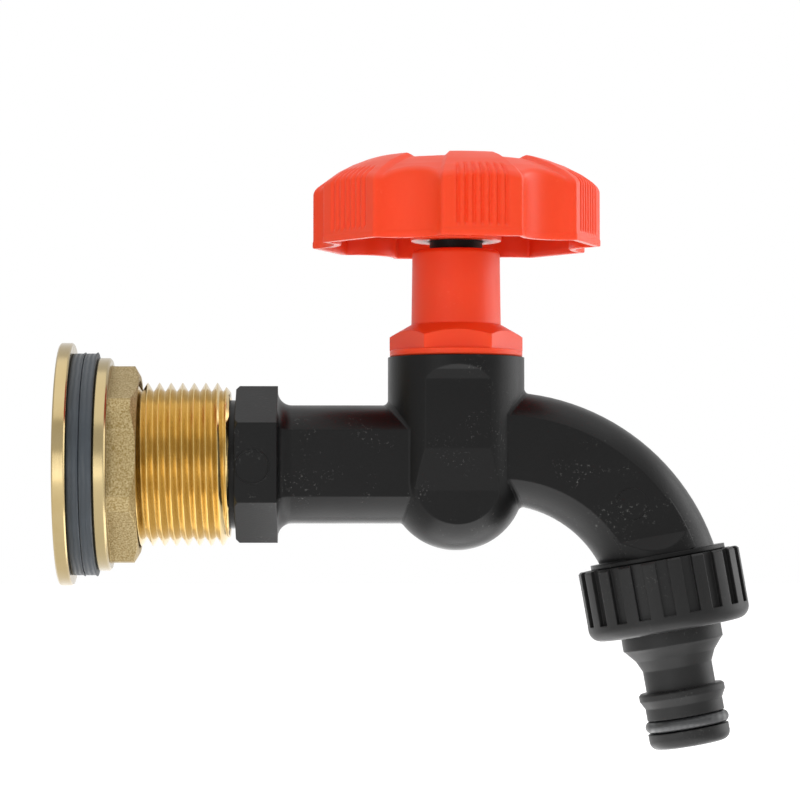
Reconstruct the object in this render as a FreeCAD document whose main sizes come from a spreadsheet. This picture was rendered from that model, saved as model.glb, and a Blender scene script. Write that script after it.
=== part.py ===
import FreeCAD, Part
import Sketcher
import math
import os
import sys

# A garden water butt tap: a brass tank connector with its washers and back nut, a moulded screw-down
# tap with a lobed hand wheel, and a screwed-on hose adaptor. Lengths are in millimetres.
# The inlet pipe runs along +X, the valve stands along +Z. X = 0 is the outer face of the back nut.

SIZES = {
    # brass tank connector
    "flange_radius": 24.2,
    "flange_thickness": 2.6,
    "edge_break": 0.4,
    "tank_thread_radius": 16.6,
    "tank_thread_relief": 0.25,
    "tank_thread_reach": 17.4,
    "tank_thread_chamfer": 1.5,
    "connector_bore_radius": 9.5,
    "socket_depth": 15.0,
    "socket_clearance": 0.1,
    # rubber washers on the tank wall
    "tank_washer_radius": 22.1,
    "tank_washer_thickness": 2.45,
    "tank_washer_slip": 0.4,
    # back nut
    "nut_flange_radius": 21.2,
    "nut_flange_thickness": 2.7,
    "nut_hex_height": 5.6,
    "nut_across_flats": 35.4,
    "nut_corner_radius": 19.6,
    "nut_corner_bevel": 1.1,
    "nut_turned": 55.0,
    "nut_running_gap": 0.08,
    # inlet washer at the bottom of the socket
    "inlet_washer_thickness": 2.0,
    "inlet_washer_bore": 8.3,
    # tap body
    "inlet_thread_radius": 13.1,
    "inlet_neck_radius": 12.8,
    "inlet_neck_gap": 1.7,
    "inlet_bore_radius": 8.0,
    "collar_corner_radius": 15.65,
    "collar_length": 8.3,
    "collar_corner_break": 0.7,
    "collar_root_fillet": 2.8,
    "pipe_radius": 11.8,
    "pipe_flat": 9.8,
    "valve_x": 63.0,
    "chamber_radius": 13.65,
    "chamber_top": 21.3,
    "dome_centre_drop": 3.5,
    "dome_foot_radius": 1.2,
    "panel_start": 19.4,
    "panel_brow": 0.95,
    "panel_brow_depth": 0.75,
    "panel_ramp": 2.8,
    "panel_depth": 1.6,
    "panel_knee": 2.9,
    "panel_low": 5.4,
    "panel_low_depth": 3.0,
    "spout_radius": 11.3,
    "spout_flat": 9.4,
    "spout_bend_radius": 33.8,
    "spout_bend_x": 8.8,
    "spout_rise": 3.2,
    "spout_bend_angle": 68.0,
    "spout_run_on": 8.0,
    "spout_bore_radius": 7.6,
    "outlet_bore_radius": 8.2,
    "outlet_tilt": 10.0,
    "outlet_ring_radius": 13.5,
    "outlet_ring_thickness": 0.9,
    "outlet_thread_radius": 13.1,
    "outlet_thread_reach": 10.6,
    # valve seat inside the chamber
    "bonnet_bore_radius": 11.0,
    "bonnet_bore_end": 9.4,
    "upper_chamber_radius": 10.6,
    "partition_top": 2.6,
    "partition_bottom": -0.6,
    "seat_top": 4.0,
    "seat_rim_radius": 7.2,
    "seat_hole_radius": 5.4,
    "lower_chamber_radius": 6.8,
    "lower_chamber_floor": -12.4,
    "cross_bore_radius": 5.0,
    "cross_bore_drop": 5.8,
    "inlet_bore_end": 14.0,
    # bonnet
    "seal_clearance": 0.05,
    "bonnet_seal_groove": 1.5,
    "bonnet_seal_radius": 12.2,
    "bonnet_flange_radius": 13.25,
    "bonnet_flange_thickness": 1.4,
    "bonnet_hex_corner_radius": 13.3,
    "bonnet_hex_height": 5.3,
    "bonnet_hex_bevel": 2.6,
    "bonnet_edge_break": 0.3,
    "sleeve_foot_radius": 8.95,
    "sleeve_top_radius": 8.75,
    "sleeve_top": 42.8,
    "sleeve_round": 0.9,
    "bonnet_thread_radius": 10.9,
    "thread_lead_in": 0.8,
    "bonnet_foot": 10.0,
    "lift_bore_radius": 7.5,
    "lift_bore_top": 23.4,
    "gland_bore_radius": 5.68,
    "gland_mouth_bevel": 0.6,
    # spindle, its seals, and the jumper with its washer
    "spindle_radius": 5.3,
    "spindle_foot": 9.2,
    "spindle_thread_radius": 7.2,
    "spindle_thread_top": 17.0,
    "drive_side": 7.4,
    "drive_start": 46.4,
    "stem_hole_radius": 2.9,
    "stem_hole_depth": 8.4,
    "o_ring_wire": 0.9,
    "o_ring_groove_radius": 3.8,
    "o_ring_slack": 0.02,
    "o_ring_groove_width": 2.2,
    "o_ring_low": 28.4,
    "o_ring_high": 33.4,
    "jumper_radius": 6.8,
    "jumper_thickness": 2.2,
    "jumper_stem_radius": 2.5,
    "jumper_stem_length": 7.6,
    "valve_washer_radius": 6.6,
    "valve_washer_thickness": 2.7,
    "valve_seat_gap": 0.1,
    "washer_screw_radius": 1.5,
    "washer_screw_head_radius": 2.9,
    "washer_screw_head": 1.6,
    "washer_screw_length": 4.4,
    # hand wheel
    "wheel_radius": 28.9,
    "wheel_foot": 43.4,
    "wheel_shoulder": 55.2,
    "wheel_crown": 61.1,
    "wheel_crown_radius": 16.6,
    "wheel_wall": 2.0,
    "wheel_rim_wall": 5.3,
    "pad_flat_depth": 1.0,
    "pad_height": 0.9,
    "pad_gap_angle": 26.6,
    "crown_recess_radius": 16.2,
    "crown_recess_depth": 0.7,
    "lobe_wall": 2.1,
    "lobe_hollow_width": 11.0,
    "hub_radius": 9.1,
    "hub_foot": 44.6,
    "scallop_radius": 9.0,
    "scallop_depth": 4.0,
    "wheel_turned": 8.8,
    "drive_clearance": 0.1,
    "screw_well_radius": 5.0,
    "screw_well_depth": 4.0,
    "drive_cover": 2.7,
    "wheel_screw_radius": 1.6,
    "wheel_screw_length": 9.0,
    "wheel_screw_head_radius": 3.4,
    "wheel_screw_head": 2.2,
    "wheel_washer_radius": 4.5,
    "wheel_washer_thickness": 0.8,
    # hose adaptor: distances run down its own axis from the top of its collar
    "adaptor_gap": 1.0,
    "adaptor_collar_radius": 16.2,
    "adaptor_collar_height": 14.2,
    "adaptor_collar_round": 2.5,
    "adaptor_thread_gap": 0.3,
    "adaptor_mouth_bevel": 1.2,
    "grip_slot_length": 11.0,
    "grip_slot_width": 2.4,
    "grip_slot_depth": 1.0,
    "grip_slot_phase": 3.5,
    "adaptor_washer_thickness": 2.0,
    "adaptor_washer_gap": 0.1,
    "adaptor_shoulder_radius": 10.05,
    "adaptor_shoulder_end": 17.5,
    "adaptor_shoulder_break": 0.5,
    "nozzle_neck_radius": 6.95,
    "nozzle_flare_radius": 7.95,
    "nozzle_flare_end": 19.4,
    "nozzle_neck_start": 21.6,
    "nozzle_ridge_start": 25.9,
    "nozzle_ridge_radius": 8.6,
    "nozzle_ridge_width": 1.5,
    "nozzle_ridge_break": 0.4,
    "nozzle_land_start": 29.0,
    "nozzle_land_radius": 7.75,
    "nozzle_groove_start": 31.4,
    "nozzle_groove_width": 2.7,
    "nozzle_ring_wire": 1.2,
    "nozzle_ring_radius": 8.4,
    "nozzle_tip_radius": 8.1,
    "nozzle_end": 37.4,
    "nozzle_tip_round": 1.8,
    "nozzle_bore_radius": 4.9,
}

LOBES = 6
GRIP_SLOTS = 20
SPANNER_SLOPE = math.tan(math.radians(30))
# the wheel's domed top: share of the way in from rim to crown, and share of the rise from shoulder to crown
DOME_SHARES = ((0.268, 0.39), (0.52, 0.661), (0.789, 0.881))
CEILING_SHARES = (0.4, 0.48)

doc = FreeCAD.newDocument("water_butt_tap")
sheet = doc.addObject("Spreadsheet::Sheet", "Sizes")
for row, (alias, number) in enumerate(SIZES.items(), start=1):
    sheet.set(f"A{row}", alias)
    sheet.set(f"B{row}", str(number))
    sheet.setAlias(f"B{row}", alias)
doc.recompute()


class Size:
    """A number together with the sheet expression that drives it."""

    def __init__(self, value, text):
        self.value = float(value)
        self.text = text

    def join(self, other, sign):
        other = as_size(other)
        total = {
            "+": self.value + other.value,
            "-": self.value - other.value,
            "*": self.value * other.value,
        }[sign]
        return Size(total, f"({self.text} {sign} {other.text})")

    def __add__(self, other):
        return self.join(other, "+")

    def __sub__(self, other):
        return self.join(other, "-")

    def __mul__(self, other):
        return self.join(other, "*")

    def __neg__(self):
        return Size(-self.value, f"(-1 * {self.text})")

    def __truediv__(self, other):
        other = as_size(other)
        return Size(self.value / other.value, f"({self.text} / {other.text})")


def as_size(x):
    return x if isinstance(x, Size) else Size(x, f"({float(x):.6f})")


def s(alias):
    return Size(SIZES[alias], f"Sizes.{alias}")


def sine(angle):
    return Size(math.sin(math.radians(angle.value)), f"sin({angle.text} * 1 deg)")


def cosine(angle):
    return Size(math.cos(math.radians(angle.value)), f"cos({angle.text} * 1 deg)")


def root(x):
    return Size(math.sqrt(x.value), f"sqrt({x.text})")


def bind(obj, name, size):
    obj.setExpression(name, as_size(size).text)


def new_body(label):
    body = doc.addObject("PartDesign::Body", label)
    body.Label = label
    return body


def put(obj, at, turn=None, about=(0, 1, 0)):
    """Place an object: three driven coordinates and one driven turn in degrees about an axis."""
    if turn is not None:
        turn = as_size(turn)
        obj.Placement = FreeCAD.Placement(
            FreeCAD.Vector(0, 0, 0), FreeCAD.Rotation(FreeCAD.Vector(*about), turn.value)
        )
        bind(obj, "Placement.Rotation.Angle", turn)
    for letter, size in zip("xyz", at):
        bind(obj, f"Placement.Base.{letter}", size)


def cylinder(body, name, radius, height, at=(0, 0, 0), turn=None, about=(0, 1, 0), cut=False):
    kind = "PartDesign::SubtractiveCylinder" if cut else "PartDesign::AdditiveCylinder"
    obj = body.newObject(kind, name)
    bind(obj, "Radius", radius)
    bind(obj, "Height", height)
    put(obj, at, turn, about)
    return obj


def prism(body, name, corner_radius, height, at=(0, 0, 0), turn=None, about=(0, 1, 0)):
    obj = body.newObject("PartDesign::AdditivePrism", name)
    obj.Polygon = 6
    bind(obj, "Circumradius", corner_radius)
    bind(obj, "Height", height)
    put(obj, at, turn, about)
    return obj


def plane_of(body, role):
    return [f for f in body.Origin.OriginFeatures if f.Role == role][0]


def new_sketch(body, name, role, at=None):
    """A sketch on one of the body's own planes, moved to a driven point when one is given."""
    sketch = body.newObject("Sketcher::SketchObject", name)
    sketch.AttachmentSupport = [(plane_of(body, role), "")]
    sketch.MapMode = "FlatFace"
    if at is not None:
        for letter, size in zip("xyz", at):
            bind(sketch, f"AttachmentOffset.Base.{letter}", size)
    return sketch


def outline(sketch, points):
    """A closed outline of straight lines, every corner held by two driven distances."""
    corners = [(as_size(x), as_size(y)) for x, y in points]
    spots = [FreeCAD.Vector(x.value, y.value, 0) for x, y in corners]
    first = sketch.GeometryCount
    count = len(spots)
    for i in range(count):
        sketch.addGeometry(Part.LineSegment(spots[i], spots[(i + 1) % count]), False)
    for i in range(count):
        following = first + (i + 1) % count
        sketch.addConstraint(Sketcher.Constraint("Coincident", first + i, 2, following, 1))
    for i, (x, y) in enumerate(corners):
        for kind, size in (("DistanceX", x), ("DistanceY", y)):
            held = sketch.addConstraint(Sketcher.Constraint(kind, -1, 1, first + i, 1, size.value))
            sketch.setExpression(f"Constraints[{held}]", size.text)


def turned(body, name, points, axis="V_Axis", cut=False):
    """Turn an outline drawn in the XZ plane about the sketch's own axis."""
    sketch = new_sketch(body, name + "_outline", "XZ_Plane")
    outline(sketch, points)
    feature = body.newObject("PartDesign::Groove" if cut else "PartDesign::Revolution", name)
    feature.Profile = sketch
    feature.ReferenceAxis = (sketch, [axis])
    feature.Angle = 360
    return feature


def flatted_round(sketch, radius, flat, centre):
    """A circle with two flats, drawn about a point on the sketch's vertical axis."""
    half = root(radius * radius - flat * flat)
    side = math.atan2(half.value, flat.value)
    middle = FreeCAD.Vector(0, centre.value, 0)
    first = sketch.GeometryCount
    for start, end in ((side, math.pi - side), (math.pi + side, 2 * math.pi - side)):
        circle = Part.Circle(middle, FreeCAD.Vector(0, 0, 1), radius.value)
        sketch.addGeometry(Part.ArcOfCircle(circle, start, end), False)
    right = FreeCAD.Vector(flat.value, 0, 0) + middle
    up = FreeCAD.Vector(0, half.value, 0)
    left = FreeCAD.Vector(-flat.value, 0, 0) + middle
    sketch.addGeometry(Part.LineSegment(left + up, left - up), False)
    sketch.addGeometry(Part.LineSegment(right - up, right + up), False)
    top, bottom, left_side, right_side = range(first, first + 4)
    for one, one_end, other, other_end in (
        (top, 2, left_side, 1),
        (left_side, 2, bottom, 1),
        (bottom, 2, right_side, 1),
        (right_side, 2, top, 1),
    ):
        sketch.addConstraint(Sketcher.Constraint("Coincident", one, one_end, other, other_end))
    sketch.addConstraint(Sketcher.Constraint("Vertical", left_side))
    sketch.addConstraint(Sketcher.Constraint("Vertical", right_side))
    sketch.addConstraint(Sketcher.Constraint("Coincident", top, 3, bottom, 3))
    sketch.addConstraint(Sketcher.Constraint("PointOnObject", top, 3, -2))
    for kind, args, size in (
        ("DistanceY", (-1, 1, top, 3), centre),
        ("Radius", (top,), radius),
        ("DistanceX", (left_side, 1, top, 3), flat),
        ("DistanceX", (top, 3, right_side, 1), flat),
    ):
        held = sketch.addConstraint(Sketcher.Constraint(kind, *args, size.value))
        sketch.setExpression(f"Constraints[{held}]", size.text)
    held = sketch.addConstraint(Sketcher.Constraint("Radius", bottom, radius.value))
    sketch.setExpression(f"Constraints[{held}]", radius.text)


def repeat_round(body, name, feature, count):
    """Repeat a feature evenly about the body's own Z axis."""
    pattern = body.newObject("PartDesign::PolarPattern", name)
    pattern.Originals = [feature]
    pattern.Axis = (plane_of(body, "Z_Axis"), [""])
    pattern.Angle = 360
    pattern.Occurrences = count
    body.Tip = pattern


def edges_where(shape, test):
    """Names of the edges whose every sample point passes a test."""
    names = []
    for i, edge in enumerate(shape.Edges, start=1):
        low, high = edge.ParameterRange
        samples = [edge.valueAt(low + (high - low) * t) for t in (0.1, 0.35, 0.65, 0.9)]
        if all(test(p) for p in samples):
            names.append(f"Edge{i}")
    return names


def soften(body, name, radius, test):
    """Round the edges that pass a test, with a smaller radius where the full one can't be made."""
    doc.recompute()
    base = body.Tip
    names = edges_where(base.Shape, test)
    feature = body.newObject("PartDesign::Fillet", name)
    feature.Base = (base, names)
    for share in (1.0, 0.6, 0.3):
        bind(feature, "Radius", radius * share)
        doc.recompute()
        if feature.isValid() and feature.Shape.isValid():
            break
    print(name, "edges", len(names), "radius", round(feature.Radius.Value, 3))


# brass tank connector
break_ = s("edge_break")
nut_depth = s("nut_hex_height") + s("nut_flange_thickness")
outer_washer_at = -(nut_depth + s("tank_washer_thickness"))
inner_washer_at = outer_washer_at - s("tank_washer_thickness")
flange_at = inner_washer_at - s("flange_thickness")
neck_radius = s("tank_thread_radius") - s("tank_thread_relief")
socket_radius = s("inlet_thread_radius") + s("socket_clearance")
socket_floor = s("tank_thread_reach") - s("socket_depth")
tank_connector = new_body("tank_connector")
turned(
    tank_connector,
    "connector_turning",
    [
        (flange_at, s("connector_bore_radius")),
        (flange_at, s("flange_radius") - break_),
        (flange_at + break_, s("flange_radius")),
        (inner_washer_at - break_, s("flange_radius")),
        (inner_washer_at, s("flange_radius") - break_),
        (inner_washer_at, neck_radius),
        (0, neck_radius),
        (0, s("tank_thread_radius")),
        (s("tank_thread_reach") - s("tank_thread_chamfer"), s("tank_thread_radius")),
        (s("tank_thread_reach"), s("tank_thread_radius") - s("tank_thread_chamfer")),
        (s("tank_thread_reach"), socket_radius + break_),
        (s("tank_thread_reach") - break_, socket_radius),
        (socket_floor, socket_radius),
        (socket_floor, s("connector_bore_radius")),
    ],
    axis="H_Axis",
)


def ring_on_pipe(label, start, thickness, inner, outer):
    """A plain ring on the pipe axis."""
    body = new_body(label)
    end = start + thickness
    corners = [(start, inner), (start, outer), (end, outer), (end, inner)]
    turned(body, label + "_turning", corners, axis="H_Axis")
    return body


slip_radius = neck_radius + s("tank_washer_slip")
for label, start in (("tank_washer_inner", inner_washer_at), ("tank_washer_outer", outer_washer_at)):
    ring_on_pipe(label, start, s("tank_washer_thickness"), slip_radius, s("tank_washer_radius"))
ring_on_pipe(
    "inlet_washer",
    socket_floor,
    s("inlet_washer_thickness"),
    s("inlet_washer_bore"),
    s("inlet_thread_radius"),
)

# back nut: turned flange, hexagon with turned corners and a bevelled outer end
back_nut = new_body("back_nut")
nut_bore = s("tank_thread_radius") + s("nut_running_gap")
nut_corner = s("nut_across_flats") * (1 / math.sqrt(3))
prism(back_nut, "nut_hexagon", nut_corner, s("nut_hex_height"), at=(-s("nut_hex_height"), 0, 0), turn=90)
past = nut_corner + 2
turned(
    back_nut,
    "nut_corner_turning",
    [
        (-nut_depth - 1, past),
        (-nut_depth - 1, s("nut_corner_radius")),
        (-s("nut_corner_bevel"), s("nut_corner_radius")),
        (1, s("nut_corner_radius") - (s("nut_corner_bevel") + 1) / SPANNER_SLOPE),
        (1, past),
    ],
    axis="H_Axis",
    cut=True,
)
turned(
    back_nut,
    "nut_flange",
    [
        (-nut_depth, nut_bore / 2),
        (-nut_depth, s("nut_flange_radius") - break_),
        (-nut_depth + break_, s("nut_flange_radius")),
        (-s("nut_hex_height") - break_, s("nut_flange_radius")),
        (-s("nut_hex_height"), s("nut_flange_radius") - break_),
        (-s("nut_hex_height"), nut_bore / 2),
    ],
    axis="H_Axis",
)
cylinder(back_nut, "nut_bore", nut_bore, nut_depth + 2, at=(-nut_depth - 1, 0, 0), turn=90, cut=True)
put(back_nut, (0, 0, 0), s("nut_turned"), about=(1, 0, 0))

# tap body: threaded inlet, hexagon collar, flatted pipe, domed valve chamber, flatted spout, outlet
tap_body = new_body("tap_body")
collar_at = s("tank_thread_reach") + s("inlet_neck_gap")
pipe_at = collar_at + s("collar_length")
inlet_at = socket_floor + s("inlet_washer_thickness")
valve_x = s("valve_x")
prism(tap_body, "collar", s("collar_corner_radius"), s("collar_length"), at=(collar_at, 0, 0), turn=90)
pipe_section = new_sketch(tap_body, "pipe_section", "YZ_Plane", at=(0, 0, collar_at + 1))
flatted_round(pipe_section, s("pipe_radius"), s("pipe_flat"), as_size(0))
pipe = tap_body.newObject("PartDesign::Pad", "pipe")
pipe.Profile = pipe_section
bind(pipe, "Length", valve_x - collar_at - 1)


def collar_root(p):
    """Where the flatted pipe leaves the collar."""
    return abs(p.x - pipe_at.value) < 0.01 and math.hypot(p.y, p.z) < s("pipe_radius").value + 0.01


soften(tap_body, "collar_root", s("collar_root_fillet"), collar_root)
chamber_outline = new_sketch(tap_body, "chamber_outline", "XZ_Plane", at=(valve_x, 0, 0))
dome_z = -s("dome_centre_drop")
dome_drop = root(s("chamber_radius") * s("chamber_radius") - s("dome_foot_radius") * s("dome_foot_radius"))
dome_low = dome_z - dome_drop
dome_middle = FreeCAD.Vector(0, dome_z.value, 0)
dome_circle = Part.Circle(dome_middle, FreeCAD.Vector(0, 0, 1), SIZES["chamber_radius"])
foot_angle = -math.atan2(dome_drop.value, SIZES["dome_foot_radius"])
spots = [
    FreeCAD.Vector(0, dome_low.value, 0),
    FreeCAD.Vector(0, SIZES["chamber_top"], 0),
    FreeCAD.Vector(SIZES["chamber_radius"], SIZES["chamber_top"], 0),
    FreeCAD.Vector(SIZES["chamber_radius"], dome_z.value, 0),
    FreeCAD.Vector(SIZES["dome_foot_radius"], dome_low.value, 0),
]
axis_line, top_line, side_line, foot_line = [
    chamber_outline.addGeometry(Part.LineSegment(spots[start], spots[end]), False)
    for start, end in ((0, 1), (1, 2), (2, 3), (4, 0))
]
dome_arc = chamber_outline.addGeometry(Part.ArcOfCircle(dome_circle, foot_angle, 0), False)
for one, one_end, other, other_end in (
    (axis_line, 2, top_line, 1),
    (top_line, 2, side_line, 1),
    (side_line, 2, dome_arc, 2),
    (dome_arc, 1, foot_line, 1),
    (foot_line, 2, axis_line, 1),
):
    chamber_outline.addConstraint(Sketcher.Constraint("Coincident", one, one_end, other, other_end))
chamber_outline.addConstraint(Sketcher.Constraint("PointOnObject", axis_line, 1, -2))
chamber_outline.addConstraint(Sketcher.Constraint("PointOnObject", axis_line, 2, -2))
chamber_outline.addConstraint(Sketcher.Constraint("PointOnObject", dome_arc, 3, -2))
for line in (top_line, foot_line):
    chamber_outline.addConstraint(Sketcher.Constraint("Horizontal", line))
chamber_outline.addConstraint(Sketcher.Constraint("Vertical", side_line))
for kind, args, size in (
    ("DistanceY", (-1, 1, dome_arc, 3), dome_z),
    ("DistanceY", (-1, 1, axis_line, 2), s("chamber_top")),
    ("DistanceY", (-1, 1, side_line, 2), dome_z),
    ("DistanceX", (-1, 1, foot_line, 1), s("dome_foot_radius")),
    ("Radius", (dome_arc,), s("chamber_radius")),
):
    held = chamber_outline.addConstraint(Sketcher.Constraint(kind, *args, size.value))
    chamber_outline.setExpression(f"Constraints[{held}]", size.text)
chamber = tap_body.newObject("PartDesign::Revolution", "chamber")
chamber.Profile = chamber_outline
chamber.ReferenceAxis = (chamber_outline, ["V_Axis"])
chamber.Angle = 360
for side, sign in (("front", -1), ("back", 1)):
    panel = new_sketch(tap_body, f"panel_{side}_outline", "YZ_Plane", at=(0, 0, valve_x))
    far = (s("chamber_radius") + 3) * sign
    brow = (s("chamber_radius") - s("panel_brow_depth")) * sign
    flat = (s("chamber_radius") - s("panel_depth")) * sign
    low_flat = (s("chamber_radius") - s("panel_low_depth")) * sign
    outline(
        panel,
        [
            (far, s("panel_start") + s("panel_brow") * 3 / s("panel_brow_depth")),
            (brow, s("panel_start") - s("panel_brow")),
            (flat, s("panel_start") - s("panel_ramp")),
            (flat, s("panel_knee")),
            (low_flat, -s("panel_low")),
            (low_flat, -s("chamber_radius") - s("dome_centre_drop") - 1),
            (far, -s("chamber_radius") - s("dome_centre_drop") - 1),
        ],
    )
    relief = tap_body.newObject("PartDesign::Pocket", f"panel_{side}")
    relief.Profile = panel
    relief.Midplane = True
    relief.Refine = False
    bind(relief, "Length", s("chamber_radius") * 2)
spout_z = s("spout_rise") - s("spout_bend_radius")
bend_x = valve_x + s("spout_bend_x")
spout_section = new_sketch(tap_body, "spout_section", "YZ_Plane", at=(0, spout_z, bend_x))
flatted_round(spout_section, s("spout_radius"), s("spout_flat"), s("spout_bend_radius"))
spout = tap_body.newObject("PartDesign::Revolution", "spout")
spout.Profile = spout_section
spout.ReferenceAxis = (spout_section, ["H_Axis"])
bind(spout, "Angle", s("spout_bend_angle") + s("spout_run_on"))
turned(
    tap_body,
    "collar_corner_turning",
    [
        (collar_at - 1, s("collar_corner_radius") + 1),
        (collar_at - 1, s("collar_corner_radius") - s("collar_corner_break") - 1),
        (collar_at + s("collar_corner_break"), s("collar_corner_radius")),
        (collar_at + s("collar_corner_break"), s("collar_corner_radius") + 1),
    ],
    axis="H_Axis",
    cut=True,
)
cylinder(tap_body, "inlet_neck", s("inlet_neck_radius"), s("inlet_neck_gap") + 2,
         at=(s("tank_thread_reach") - 1, 0, 0), turn=90)
cylinder(tap_body, "inlet_thread", s("inlet_thread_radius"), s("tank_thread_reach") - inlet_at - 0.5,
         at=(inlet_at, 0, 0), turn=90)
outlet_x = bend_x + s("spout_bend_radius") * sine(s("spout_bend_angle"))
outlet_z = spout_z + s("spout_bend_radius") * cosine(s("spout_bend_angle"))
down = -s("outlet_tilt") + 180


def on_outlet(distance):
    """A point on the outlet's axis, that far below its ring."""
    distance = as_size(distance)
    return (outlet_x + distance * sine(s("outlet_tilt")), 0, outlet_z - distance * cosine(s("outlet_tilt")))


cylinder(tap_body, "outlet_ring", s("outlet_ring_radius"), s("outlet_ring_thickness"),
         at=on_outlet(0), turn=down)
cylinder(tap_body, "outlet_thread", s("outlet_thread_radius"), s("outlet_thread_reach"),
         at=on_outlet(0), turn=down)

# waterways
cylinder(tap_body, "seal_recess", s("bonnet_seal_radius"), s("bonnet_seal_groove") + 1,
         at=(valve_x, 0, s("chamber_top") - s("bonnet_seal_groove")), cut=True)
cylinder(tap_body, "bonnet_bore", s("bonnet_bore_radius"), s("chamber_top") - s("bonnet_bore_end"),
         at=(valve_x, 0, s("bonnet_bore_end")), cut=True)
cylinder(tap_body, "upper_chamber", s("upper_chamber_radius"),
         s("bonnet_bore_end") - s("partition_top") + 1, at=(valve_x, 0, s("partition_top")), cut=True)
bore_section = new_sketch(tap_body, "spout_bore_section", "YZ_Plane", at=(0, spout_z, bend_x))
bore_middle = FreeCAD.Vector(0, SIZES["spout_bend_radius"], 0)
bore_circle = bore_section.addGeometry(
    Part.Circle(bore_middle, FreeCAD.Vector(0, 0, 1), SIZES["spout_bore_radius"])
)
bore_section.addConstraint(Sketcher.Constraint("PointOnObject", bore_circle, 3, -2))
for kind, args, size in (
    ("DistanceY", (-1, 1, bore_circle, 3), s("spout_bend_radius")),
    ("Radius", (bore_circle,), s("spout_bore_radius")),
):
    held = bore_section.addConstraint(Sketcher.Constraint(kind, *args, size.value))
    bore_section.setExpression(f"Constraints[{held}]", size.text)
spout_bore = tap_body.newObject("PartDesign::Groove", "spout_bore")
spout_bore.Profile = bore_section
spout_bore.ReferenceAxis = (bore_section, ["H_Axis"])
bind(spout_bore, "Angle", s("spout_bend_angle") + s("spout_run_on") / 2)
cylinder(tap_body, "outlet_bore", s("outlet_bore_radius"), s("outlet_thread_reach") + 1,
         at=on_outlet(1.5), turn=down, cut=True)
cylinder(tap_body, "seat_rim", s("seat_rim_radius"), s("seat_top") - s("partition_bottom") - 1,
         at=(valve_x, 0, s("partition_bottom") + 1))
cylinder(tap_body, "lower_chamber", s("lower_chamber_radius"),
         s("partition_bottom") - s("lower_chamber_floor"),
         at=(valve_x, 0, s("lower_chamber_floor")), cut=True)
cylinder(tap_body, "seat_hole", s("seat_hole_radius"), s("seat_top") - s("partition_bottom") + 2,
         at=(valve_x, 0, s("partition_bottom") - 1), cut=True)
cylinder(tap_body, "inlet_bore", s("inlet_bore_radius"), valve_x - s("inlet_bore_end") - inlet_at + 1,
         at=(inlet_at - 1, 0, 0), turn=90, cut=True)
cylinder(tap_body, "cross_bore", s("cross_bore_radius"), s("inlet_bore_end") + 3,
         at=(valve_x - s("inlet_bore_end") - 3, 0, -s("cross_bore_drop")), turn=90, cut=True)

# bonnet: sealing flange, spanner hexagon, tapered sleeve, and the thread that screws into the chamber
bonnet = new_body("bonnet")
hex_at = s("chamber_top") + s("bonnet_flange_thickness")
hex_top = hex_at + s("bonnet_hex_height")
bevel_at = hex_top - s("bonnet_hex_bevel")
bevel_rise = (s("bonnet_hex_corner_radius") - s("sleeve_foot_radius")) * SPANNER_SLOPE
prism(bonnet, "bonnet_hexagon", s("bonnet_hex_corner_radius"), s("bonnet_hex_height"), at=(0, 0, hex_at))
turned(
    bonnet,
    "hexagon_bevel",
    [
        (s("bonnet_hex_corner_radius") + 2, bevel_at - 2 * SPANNER_SLOPE),
        (s("sleeve_foot_radius"), bevel_at + bevel_rise),
        (s("sleeve_foot_radius"), hex_top + 4),
        (s("bonnet_hex_corner_radius") + 2, hex_top + 4),
    ],
    cut=True,
)
lead_in = s("thread_lead_in")
lip = s("bonnet_edge_break")
turned(
    bonnet,
    "bonnet_turning",
    [
        (s("lift_bore_radius"), s("bonnet_foot")),
        (s("bonnet_thread_radius") - lead_in, s("bonnet_foot")),
        (s("bonnet_thread_radius"), s("bonnet_foot") + lead_in),
        (s("bonnet_thread_radius"), s("chamber_top")),
        (s("bonnet_flange_radius") - lip, s("chamber_top")),
        (s("bonnet_flange_radius"), s("chamber_top") + lip),
        (s("bonnet_flange_radius"), hex_at - lip / 3),
        (s("bonnet_flange_radius") - lip / 3, hex_at),
        (s("sleeve_foot_radius") + 0.01, hex_at),
        (s("sleeve_foot_radius"), hex_top),
        (s("sleeve_top_radius"), s("sleeve_top")),
        (s("gland_bore_radius") + s("gland_mouth_bevel"), s("sleeve_top")),
        (s("gland_bore_radius"), s("sleeve_top") - s("gland_mouth_bevel")),
        (s("gland_bore_radius"), s("lift_bore_top")),
        (s("lift_bore_radius"), s("lift_bore_top")),
    ],
)
soften(
    bonnet,
    "sleeve_rounding",
    s("sleeve_round"),
    lambda p: abs(p.z - SIZES["sleeve_top"]) < 0.01
    and math.hypot(p.x, p.y) > SIZES["sleeve_top_radius"] - 0.05,
)
cylinder(bonnet, "lift_bore", s("lift_bore_radius"), s("lift_bore_top") - s("bonnet_foot") + 1,
         at=(0, 0, s("bonnet_foot") - 1), cut=True)
cylinder(bonnet, "gland_bore", s("gland_bore_radius"), s("sleeve_top") - s("lift_bore_top") + 2,
         at=(0, 0, s("lift_bore_top") - 1), cut=True)
put(bonnet, (valve_x, 0, 0))


def ring_on_valve(label, start, thickness, inner, outer):
    """A plain ring on the valve axis."""
    body = new_body(label)
    end = start + thickness
    turned(body, label + "_turning", [(inner, start), (outer, start), (outer, end), (inner, end)])
    put(body, (valve_x, 0, 0))
    return body


ring_on_valve(
    "bonnet_seal",
    s("chamber_top") - s("bonnet_seal_groove"),
    s("bonnet_seal_groove"),
    s("bonnet_thread_radius") + s("seal_clearance"),
    s("bonnet_seal_radius") - s("seal_clearance"),
)

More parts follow.
